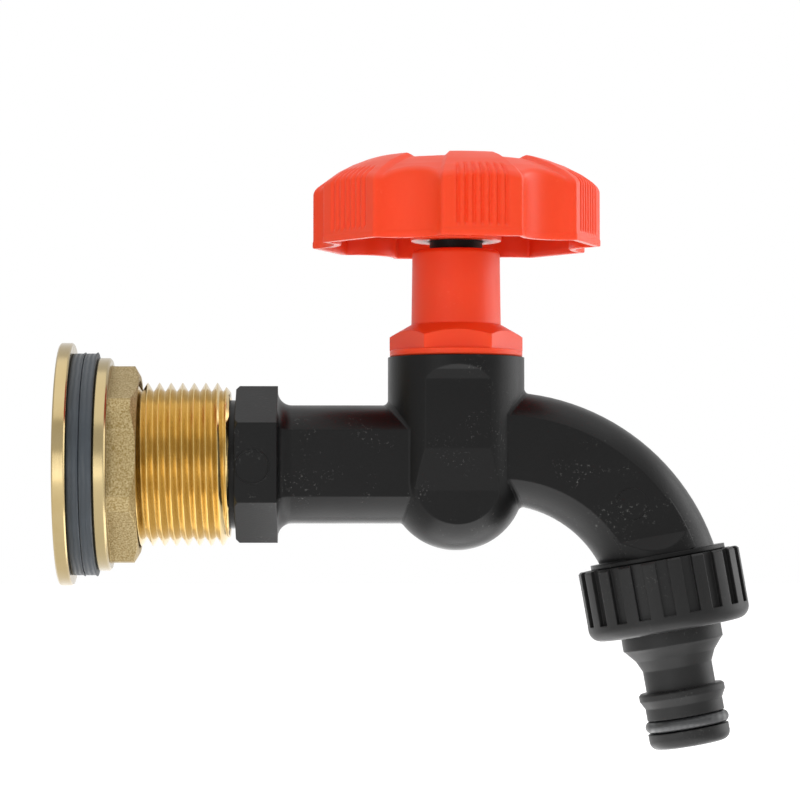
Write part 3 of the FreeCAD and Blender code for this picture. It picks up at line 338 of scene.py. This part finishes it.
# %% Dress the solids
DRESSING = {
    black_polypropylene: "tap_body spindle",
    matt_polypropylene: "hose_adaptor",
    red_polypropylene: "bonnet hand_wheel",
    turned_brass: "tank_connector",
    forged_brass: "back_nut",
    washer_rubber: "tank_washer_inner tank_washer_outer inlet_washer adaptor_washer",
    ring_rubber: "bonnet_seal valve_washer nozzle_o_ring",
    white_acetal: "jumper",
    zinc_steel: "washer_screw wheel_screw wheel_washer",
}
for finish, names in DRESSING.items():
    for name in names.split():
        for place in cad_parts[name].material_slots:
            place.material = finish
for name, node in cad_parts.items():
    if name.startswith("spindle_o_ring"):
        for place in node.material_slots:
            place.material = ring_rubber
print("dressed", len(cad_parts), "solids")

# %% [markdown]
# ## The connector's thread
# The connector carries a 1 inch parallel pipe thread, eleven crests to the inch, right-handed. The Screw modifier
# could sweep a tooth, but its ends would be open. Here the rows of the grid follow the thread's own lead, so every
# crest lies on a row, and the rows run out against both ends of the thread, where doubled points are merged.

# %% Cut the connector's thread
PITCH = 2.309
CREST = 16.3
THREAD_DEPTH = 1.75
THREAD_START = -2.0
THREAD_END = 18.0
TOP_CREST = 1.5
THREAD_COLUMNS = 289
ROWS_PER_PITCH = 14.0


def threaded_connector():
    """A profile round the X axis. In the thread, a row leads by one pitch per turn: x = crest place + pitch * (k +
    turn), and the radius falls from the crest to the root and back within each pitch, under a cone at each end. The
    first and the last column lie on each other, and a row ends there on the row that starts one pitch further on, so
    merging closes the turn."""
    turn = np.linspace(0.0, 1.0, THREAD_COLUMNS)
    before = np.array([(-13.2, 16.35), (-13.2, 23.9), (-13.5, 24.2), (-15.5, 24.2), (-15.8, 23.9), (-15.8, 9.8),
                       (-15.5, 9.5), (2.4, 9.5), (2.4, 13.2), (17.7, 13.2), (18.0, 13.5)])
    steps = np.arange(-3.0, 10.0, 1.0 / ROWS_PER_PITCH)
    lead = TOP_CREST + PITCH * (steps[:, None] + turn[None, :] - 0.25)
    height = np.clip(1.1 * np.abs(2.0 * (steps % 1.0) - 1.0) - 0.05, 0.0, 1.0)
    radius = CREST - THREAD_DEPTH * (1.0 - height[:, None]) + 0.0 * turn[None, :]
    along = np.clip(lead, THREAD_START, THREAD_END)
    end_cone = CREST - 1.25 * (along - (THREAD_END - 1.5))
    start_cone = CREST - THREAD_DEPTH + 1.5 * (along - THREAD_START)
    radius = np.minimum(radius, np.minimum(end_cone, start_cone))
    neck = np.array([(-2.3, CREST - THREAD_DEPTH), (-2.6, 16.35)])
    plain = lambda rows, column: np.repeat(rows[:, column][:, None], turn.size, axis=1)
    x = np.concatenate([plain(before, 0), along[::-1], plain(neck, 0)])
    r = np.concatenate([plain(before, 1), radius[::-1], plain(neck, 1)])
    angle = 2.0 * np.pi * turn[None, :]
    return np.stack([x, r * np.cos(angle), r * np.sin(angle)], axis=-1)


connector = lay_skin("connector_threaded", threaded_connector(), "tap", turned_brass, around=False,
                     crease=40.0)
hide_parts("tank_connector")

# %% [markdown]
# ## The tank washers
# Two rubber washers grip the tank's wall. They are cut from a tube, so their edges are a little worn and the knife
# left small lips. A Bevel modifier would round the edges too, but the profile also carries the lips, and the seam
# between them shows.

# %% Cut the washers
def washer_skin(start):
    """A profile round the X axis: a 2.45 mm wide band with edges rounded by 0.25 mm, and at its far edge a lip that
    grows with the sixth power of the sine of the angle, so that it stands at the top and the bottom."""
    a = np.linspace(0.0, 2.0 * np.pi, 192, endpoint=False)[None, :]
    x = start + np.array([0.0, 0.0, 0.07, 0.25, 1.2, 2.05, 2.22, 2.36, 2.45, 2.45])[:, None]
    r = np.array([16.75, 21.82, 22.02, 22.08, 22.1, 22.08, 22.06, 22.0, 21.82, 16.75])[:, None]
    lip = np.array([0.0, 0.0, 0.0, 0.0, 0.0, 0.0, 0.6, 1.0, 0.3, 0.0])[:, None]
    r = r + 0.3 * lip * np.sin(a) ** 6 + 0.03 * lip * np.cos(11.0 * a)
    return np.stack([x + 0.0 * a, r * np.cos(a), r * np.sin(a)], axis=-1)


inner_washer = lay_skin("washer_inner_cut", washer_skin(-13.2), "tap", washer_rubber)
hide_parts("tank_washer_inner")
outer_washer = lay_skin("washer_outer_cut", washer_skin(-10.75), "outer_washer", washer_rubber)
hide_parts("tank_washer_outer")

# %% [markdown]
# ## The hand wheel
# The wheel is a hollow red cap with six flat-faced lobes, seven grip grooves in each face, and deep hollows between
# them. The lobes run on over the top as raised pads. A subdivision cage would need many loops for the grooves. One
# closed profile carried round the axis does it all, because wall, top and grooves are plain functions of the angle.

# %% Shape the wheel's wall
AXIS_X = 63.0
FRONT_LOBE = 8.8
PAD_FACE = 27.9
PAD_HALF_ANGLE = 16.6
PAD_HEIGHT = 0.9
CROWN = 61.1
GROOVE = 0.55
GROOVE_PITCH = 1.62
SCALLOP_REACH = 33.9
SCALLOP = 9.0
GROOVE_WIDTH = 0.38
WALL = 1.6
CEILING = 2.2
DOME = np.array([(0.0, CROWN), (16.2, CROWN), (17.0, 60.95), (19.2, 60.3), (22.5, 59.0), (25.6, 57.4), (27.6, 56.0),
                 (29.0, 55.0)])
LOBE_STRETCHES = ((-30.0, -19.0, 14), (-19.0, -12.0, 18), (-12.0, 12.0, 84), (12.0, 19.0, 18), (19.0, 30.0, 14))

lobe_grid = np.concatenate([np.linspace(*stretch, endpoint=False) for stretch in LOBE_STRETCHES])
from_lobe = np.tile(lobe_grid, 6)
wheel_angle = np.radians(from_lobe + FRONT_LOBE + np.repeat(60.0 * np.arange(6), lobe_grid.size))


def soft_min(one, other, width):
    """The smaller of two values, less (width - difference)^2 / (4 width) where they differ by less than the width."""
    near = np.maximum(width - np.abs(one - other), 0.0)
    return np.minimum(one, other) - near * near / (4.0 * width)


def wheel_wall():
    """A flat face is face / cos(p), p from the lobe's middle. A hollow is the near side of a circle of 9 mm radius
    whose centre lies 33.9 mm out: reach * cos(q) - sqrt(circle^2 - (reach * sin(q))^2), q from the hollow's
    middle."""
    q = np.radians(30.0 - np.abs(from_lobe))
    inside = np.maximum(SCALLOP ** 2 - (SCALLOP_REACH * np.sin(q)) ** 2, 0.0)
    hollow = np.where(inside > 0.0, SCALLOP_REACH * np.cos(q) - np.sqrt(inside), 40.0)
    return soft_min(PAD_FACE / np.cos(np.radians(from_lobe)), hollow, 1.0)


def wheel_grooves():
    """Seven grooves side by side in the flat face. Each is a bell, exp(-(d / 0.38)^2), d being the distance from its
    middle."""
    along = PAD_FACE * np.tan(np.radians(from_lobe))
    middle = GROOVE_PITCH * np.clip(np.round(along / GROOVE_PITCH), -3.0, 3.0)
    return -GROOVE * np.exp(-((along - middle) / GROOVE_WIDTH) ** 2)


def wheel_top(radius):
    """The dome's height, less the pad's height between the pads and inside the round recess, with softened steps."""
    beside = smooth_step(radius * np.radians(np.abs(from_lobe) - PAD_HALF_ANGLE), -0.7, 0.6)
    recess = 1.0 - smooth_step(radius, 15.6, 16.9)
    return np.interp(radius, DOME[:, 0], DOME[:, 1]) - PAD_HEIGHT * np.maximum(beside, 0.85 * recess)


wall = wheel_wall()
print("wheel wall from", wall.min().round(2), "to", wall.max().round(2), "mm")

# %% Mould the hand wheel
def wheel_skin():
    """Rows of the closed profile, each a radius and a height for every angle: up the wall, over the shoulder, in over
    the top, down the screw's well and the hub's socket, and back under the ceiling to the lip."""
    grooves = wheel_grooves()
    rows = []

    def row(radius, height, cut=0.0):
        rows.append((radius + cut * grooves + 0.0 * wheel_angle, height + 0.0 * wheel_angle))

    for inset, height in ((0.35, 43.4), (0.12, 43.48), (0.05, 43.7), (0.05, 44.4), (0.07, 44.6), (0.14, 44.75),
                          (0.18, 44.95)):
        row(wall - inset, height)
    base = wall - 0.18
    for height in (45.2, 45.45, 45.7, 46.0, 46.4, 48.0, 50.0, 52.0):
        row(base, height, float(smooth_step(height, 45.1, 46.1)))
    edge = wheel_top(wall)
    for share in (0.25, 0.5, 0.75, 1.0):
        row(base, 52.0 + share * (edge - 0.9 - 52.0), 1.0)
    inner = wall - 1.1
    for t in (0.2, 0.4, 0.6, 0.8, 1.0):
        radius = (1 - t * t) * base + t * t * inner
        height = (1 - t) ** 2 * (edge - 0.9) + 2 * t * (1 - t) * edge + t * t * wheel_top(inner)
        row(radius, height + 0.7 * t * grooves, 1.0 - 0.4 * t)
    for share in np.concatenate([np.linspace(0.01, 0.2, 12), np.linspace(0.23, 0.5, 8), np.linspace(0.52, 0.66, 10),
                                 np.linspace(0.7, 1.0, 6)]):
        radius = inner * (1.0 - share) + 8.0 * share
        fade = float(1.0 - smooth_step(share, 0.07, 0.14))
        row(radius, wheel_top(radius) + 0.7 * fade * grooves, 0.6 * fade)
    floor_level = CROWN - 0.85 * PAD_HEIGHT
    for radius, height in ((5.5, floor_level), (5.15, floor_level - 0.1), (5.0, floor_level - 0.4), (5.0, 59.0),
                           (5.0, 57.3), (4.8, 57.1), (3.0, 57.1), (1.7, 57.1), (1.7, 56.0), (1.7, 54.5),
                           (3.0, 54.5), (5.4, 54.5),
                           (5.4, 52.0), (5.4, 48.0), (5.4, 44.9), (5.7, 44.6), (7.2, 44.6), (8.7, 44.6), (9.0, 44.7),
                           (9.1, 45.0), (9.1, 48.0), (9.1, 52.0), (9.1, 55.5)):
        row(radius, height)
    for share in np.linspace(0.0, 1.0, 14):
        radius = 9.6 + (wall - CEILING - 9.6) * share
        row(radius, wheel_top(radius) - CEILING)
    roof = wheel_top(wall - CEILING) - 3.0
    for share in (0.0, 0.15, 0.3, 0.45, 0.6, 0.75, 0.9, 1.0):
        row(wall - WALL, roof + share * (43.7 - roof))
    row(wall - 1.45, 43.48)
    row(wall - 1.2, 43.4)
    radius = np.stack([r for r, _ in rows])
    height = np.stack([z for _, z in rows])
    return np.stack([AXIS_X + radius * np.sin(wheel_angle), -radius * np.cos(wheel_angle), height], axis=-1)


wheel = lay_skin("wheel_cap", wheel_skin(), "wheel", red_polypropylene, crease=50.0)
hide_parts("hand_wheel")

# %% [markdown]
# ## Moulded marks on the tap
# The mould left a plain raised ring on the collar's front flat and the round print of an ejector pin on the spout's.
# A torus primitive would do, but the grid keeps both on one formula with the rest.

# %% Rings on the flats
def ring_on_flat(centre, radius, tube):
    """A thin torus that faces the viewer: a circle of the given radius about Y carries a small circle of the tube's
    radius."""
    turn = np.linspace(0.0, 2.0 * np.pi, 96, endpoint=False)[None, :]
    round_tube = np.linspace(0.0, 2.0 * np.pi, 10, endpoint=False)[:, None]
    out = radius + tube * np.cos(round_tube)
    x = centre[0] + out * np.cos(turn)
    z = centre[2] + out * np.sin(turn)
    y = centre[1] + tube * np.sin(round_tube) + 0.0 * turn
    return np.stack([x, y, z], axis=-1)


lay_skin("collar_ring", ring_on_flat((22.6, -13.5, -0.8), 3.3, 0.2), "tap", black_polypropylene)
lay_skin("pin_print", ring_on_flat((97.4, -9.36, -8.0), 3.1, 0.13), "tap", black_polypropylene)

# %% [markdown]
# ## Where the spout's flats end
# Just above the outlet each flat climbs back to the full round in a short ramp with an arched edge. The ramp is a
# pillow: a front skin cut from the round and the ramp's plane, and a back skin sunk in the solid, pinched together at
# both ends.

# %% Ramps at the spout's end
BEND = (71.8, -30.6, 33.8)
SPOUT = 11.3
SPOUT_FLAT = 9.4
OUTLET = np.array([103.139, -17.938])
OUTLET_WAY = np.array([0.173648, -0.984808])
RAMP_SLOPE = 0.68
RAMP_START = 3.9
RAMP_SUNK = 8.6


def spout_ramp(side):
    """t is the angle along the bend and v the distance out from its middle line. The front lies at the smaller of the
    round, sqrt(R^2 - v^2), and the ramp, the flat + 0.68 * the way down from the ramp's start."""
    t = np.radians(np.linspace(54.0, 70.0, 60))[:, None]
    v = np.linspace(-6.9, 6.9, 60)[None, :]
    x = BEND[0] + (BEND[2] + v) * np.sin(t)
    z = BEND[1] + (BEND[2] + v) * np.cos(t)
    down = (x - OUTLET[0]) * OUTLET_WAY[0] + (z - OUTLET[1]) * OUTLET_WAY[1] + RAMP_START
    face = np.minimum(np.sqrt(SPOUT ** 2 - v ** 2) + 0.01, SPOUT_FLAT - 0.1 + RAMP_SLOPE * np.clip(down, 0.0, 3.0))
    back = np.minimum(face, RAMP_SUNK)
    face[[0, -1]] = back[[0, -1]]
    x, y, z = (np.concatenate([one, two[:, ::-1]], axis=1) for one, two in ((x, x), (face, back), (z, z)))
    return np.stack([x, side * y, z], axis=-1)


lay_skin("spout_ramp_front", spout_ramp(-1.0), "tap", black_polypropylene, closed=False)
lay_skin("spout_ramp_back", spout_ramp(1.0), "tap", black_polypropylene, closed=False)

# %% [markdown]
# ## Fillets at the valve chamber
# Pipe and spout run into the chamber through a small rounding, which shows as a bright seam. A Bevel modifier can't
# round a corner between two solids. The strip that a ball leaves when it rolls along the corner can be written down
# in closed form.

# %% Roll a ball along the corners
CHAMBER = 13.65
DOME_Z = -3.5
BALL = 1.1
PIPE = 11.8
PIPE_FLAT = 9.8


def flatted_offset(radius, flat):
    """Round a circle with two flats: the way out at each point, and the same outline grown by the ball's radius. On
    an arc the way out is the angle's, on a flat it is sideways, and at a corner it turns while the point stands
    still."""
    corner = np.arccos(flat / radius)
    arc = np.linspace(corner, np.pi - corner, 40)
    fan = np.linspace(0.0, corner, 7)[:-1]
    level = np.linspace(-1.0, 1.0, 15)[:-1] * radius * np.sin(corner)
    y = np.concatenate([np.full(14, flat), np.full(6, flat), radius * np.cos(arc)])
    v = np.concatenate([level, np.full(6, radius * np.sin(corner)), radius * np.sin(arc)])
    out = np.concatenate([np.zeros(14), fan, arc])
    fan_back = np.pi - fan[::-1]
    y = np.concatenate([y, np.full(6, -flat)])
    v = np.concatenate([v, np.full(6, radius * np.sin(corner))])
    out = np.concatenate([out, fan_back])
    y, v, out = np.concatenate([y, -y]), np.concatenate([v, -v]), np.concatenate([out, out + np.pi])
    return np.stack([np.cos(out), np.sin(out)]), np.stack([y + BALL * np.cos(out), v + BALL * np.sin(out)])


def rolled_strip(centre, to_run):
    """An arc about each ball centre, from the run's skin to the chamber's, closed by a point sunk in the corner. The
    arc's ways are the two end ways blended by sin((1 - u) w) and sin(u w), w being the angle between them."""
    height = centre[2]
    axis = np.stack([np.full_like(height, AXIS_X), np.zeros_like(height), np.maximum(height, DOME_Z)])
    to_chamber = (axis - centre) / np.linalg.norm(axis - centre, axis=0)
    w = np.arccos(np.clip((to_run * to_chamber).sum(axis=0), -1.0, 1.0))
    u = np.linspace(0.0, 1.0, 9)[:, None, None]
    ways = (to_run * np.sin((1.0 - u) * w) + to_chamber * np.sin(u * w)) / np.sin(w)
    strip = centre + (BALL + 0.02) * ways
    sunk = centre + 2.2 * BALL * ways[4:5]
    return np.moveaxis(np.concatenate([strip, sunk]), 1, -1)


def pipe_fillet():
    """The ball touches pipe and chamber where its centre is one chamber plus one ball from the chamber's axis or dome
    centre."""
    out, (y, z) = flatted_offset(PIPE, PIPE_FLAT)
    x = AXIS_X - np.sqrt((CHAMBER + BALL) ** 2 - y ** 2 - np.minimum(z - DOME_Z, 0.0) ** 2)
    return rolled_strip(np.stack([x, y, z]), np.stack([np.zeros_like(y), -out[0], -out[1]]))


def spout_fillet():
    """As on the pipe, but the run bends: sin(t) = (x - bend's x) / (bend radius + v), settled in a few rounds."""
    out, (y, v) = flatted_offset(SPOUT, SPOUT_FLAT)
    z = BEND[1] + BEND[2] + v
    for _ in range(6):
        x = AXIS_X + np.sqrt((CHAMBER + BALL) ** 2 - y ** 2 - np.minimum(z - DOME_Z, 0.0) ** 2)
        t = np.arcsin((x - BEND[0]) / (BEND[2] + v))
        z = BEND[1] + (BEND[2] + v) * np.cos(t)
    to_run = np.stack([-out[1] * np.sin(t), -out[0], -out[1] * np.cos(t)])
    return rolled_strip(np.stack([x, y, z]), to_run)


lay_skin("pipe_fillet", pipe_fillet(), "tap", black_polypropylene, crease=60.0)
lay_skin("spout_fillet", spout_fillet(), "tap", black_polypropylene, crease=60.0)

# %% [markdown]
# ## Splines on the spindle
# The spindle's end carries fine splines, seen in the slit under the wheel. They are moulded, so the teeth are rounded
# waves. An Array modifier could repeat one tooth, but a wave round a ring gives all of them in one closed skin.

# %% Spline the spindle
def splines():
    """A ring of 36 rounded teeth: the radius is 5.05 + 0.25 * |cos(18 a)|, closed over an inner wall."""
    a = np.linspace(0.0, 2.0 * np.pi, 432, endpoint=False)
    teeth = 5.05 + 0.25 * np.abs(np.cos(18.0 * a))
    core = 4.7 + 0.0 * a
    rows = [(core, 43.0), (teeth - 0.1, 43.0), (teeth, 43.1), (teeth, 44.5), (teeth - 0.1, 44.55), (core, 44.55)]
    radius = np.stack([r for r, _ in rows])
    height = np.array([z for _, z in rows])[:, None] + 0.0 * a
    return np.stack([AXIS_X + radius * np.sin(a), -radius * np.cos(a), height], axis=-1)


lay_skin("spindle_splines", splines(), "wheel", black_polypropylene)

# %% [markdown]
# ## Floor, light and camera
# The tap hangs over a plain white floor in a white room. Floor and room show as white to the camera, in reflections
# and through clear things alike, and the floor still takes the tap's shadow. A large soft box overhead, one at the
# right, one in front, a small card at the left and a panel under the black pieces do the lighting. Brighter lamps
# would whiten the picture too, but they would wash out the colours.

# %% Floor
FLOOR_Z = -78.0
FLOOR_REACH = 6000.0
PAPER_LIFT = 0.76
SHOWING_RAYS = ("Is Camera Ray", "Is Glossy Ray", "Is Transmission Ray")
floor_mesh = bpy.data.meshes.new("floor")
floor_mesh.from_pydata([(x * FLOOR_REACH * MM, y * FLOOR_REACH * MM, FLOOR_Z * MM) for x, y in
                        ((-1, -1), (1, -1), (1, 1), (-1, 1))], [], [(0, 1, 2, 3)])
floor = bpy.data.objects.new("floor", floor_mesh)
scene.collection.objects.link(floor)
paper, tree, shader, _ = start_finish("white_paper")
shader.inputs["Base Color"].default_value = linear("#F2F2F2")
shader.inputs["Roughness"].default_value = 0.9
path = add_node(tree, "ShaderNodeLightPath")
seen = path.outputs[SHOWING_RAYS[0]]
for ray in SHOWING_RAYS[1:]:
    seen = add_node(tree, "ShaderNodeMath", {0: seen, 1: path.outputs[ray]}, operation="MAXIMUM").outputs[0]
lift = add_node(tree, "ShaderNodeMath", {0: seen, 1: PAPER_LIFT}, operation="MULTIPLY")
shader.inputs["Emission Color"].default_value = linear("#FFFFFF")
tree.links.new(lift.outputs[0], shader.inputs["Emission Strength"])
floor_mesh.materials.append(paper)
print("floor ready")

# %% Room
room = bpy.data.worlds.new("white_room")
scene.world = room
room.use_nodes = True
tree = room.node_tree
tree.nodes.clear()
way = add_node(tree, "ShaderNodeTexCoord").outputs["Generated"]
part = add_node(tree, "ShaderNodeSeparateXYZ", {"Vector": way})
sideways = add_node(tree, "ShaderNodeMath", {0: part.outputs["X"]}, operation="ABSOLUTE")
# What matt surfaces get from each side of the room: the ray's direction along an axis, where the side starts and is
# full, and its strength at both.
ROOM_SIDES = {
    "ceiling": (part.outputs["Z"], 0.3, 0.85, 0.04, 0.5),
    "walls": (sideways.outputs[0], 0.3, 0.9, 0.0, 0.35),
    "front": (part.outputs["Y"], -0.4, -0.7, 0.0, 0.17),
    "backdrop": (part.outputs["Y"], 0.93, 0.985, 0.0, 1.0),
}
path = add_node(tree, "ShaderNodeLightPath")
strengths = [path.outputs[ray] for ray in SHOWING_RAYS]
for towards, begin, full, faint, strong in ROOM_SIDES.values():
    side = add_node(tree, "ShaderNodeMapRange", {"Value": towards, "From Min": begin, "From Max": full, "To Min": faint,
                                                 "To Max": strong}, interpolation_type="SMOOTHSTEP")
    strengths.append(side.outputs["Result"])
shown = strengths[0]
for other in strengths[1:]:
    shown = add_node(tree, "ShaderNodeMath", {0: shown, 1: other}, operation="MAXIMUM").outputs[0]
sky = add_node(tree, "ShaderNodeBackground", {"Color": linear("#FFFFFF"), "Strength": shown})
add_node(tree, "ShaderNodeOutputWorld", {"Surface": sky.outputs[0]})
print("room ready")

# %% Soft boxes
MIDDLE = Vector((52.0, 0.0, 10.0))


def soft_box(name, place, width, height, brightness, mirrored=True, aim=MIDDLE):
    """A rectangular area lamp in millimetres, turned to the tap's middle or another aim. Its power is brightness * pi
    * area, so a mirror shows it at that brightness. With mirrored off it only lights, and no surface shows it as a
    highlight."""
    lamp = bpy.data.lights.new(name, "AREA")
    lamp.shape = "RECTANGLE"
    lamp.size = width * MM
    lamp.size_y = height * MM
    lamp.energy = brightness * np.pi * width * height * MM * MM
    box = bpy.data.objects.new(name, lamp)
    box.location = Vector(place) * MM
    box.rotation_euler = (Vector(place) - Vector(aim)).to_track_quat("Z", "Y").to_euler()
    box.visible_camera = False
    box.visible_glossy = mirrored
    scene.collection.objects.link(box)


soft_box("box_top", (40.0, -150.0, 760.0), width=1300.0, height=1200.0, brightness=0.9)
soft_box("box_right", (816.0, 202.0, 130.0), width=700.0, height=700.0, brightness=2.4)
soft_box("box_front", (90.0, -640.0, 160.0), width=500.0, height=400.0, brightness=1.95, mirrored=False)
soft_box("card_left", (-86.0, -250.0, -27.0), width=160.0, height=134.0, brightness=1.8)
soft_box("box_under", (78.0, -15.0, -75.0), width=105.0, height=110.0, brightness=2.6, aim=(78.0, -15.0, 10.0))
print("soft boxes ready")

# %% Camera
EYE = (41.06, -683.6, -17.79)
AIM = (51.78, 0.0, 12.88)
lens = bpy.data.cameras.new("camera")
lens.sensor_width = 36.0
lens.lens = 154.1
lens.clip_start = 0.01
lens.clip_end = 50.0
camera = bpy.data.objects.new("camera", lens)
camera.location = Vector(EYE) * MM
camera.rotation_euler = (Vector(EYE) - Vector(AIM)).to_track_quat("Z", "Y").to_euler()
scene.collection.objects.link(camera)
scene.camera = camera
print("camera ready")
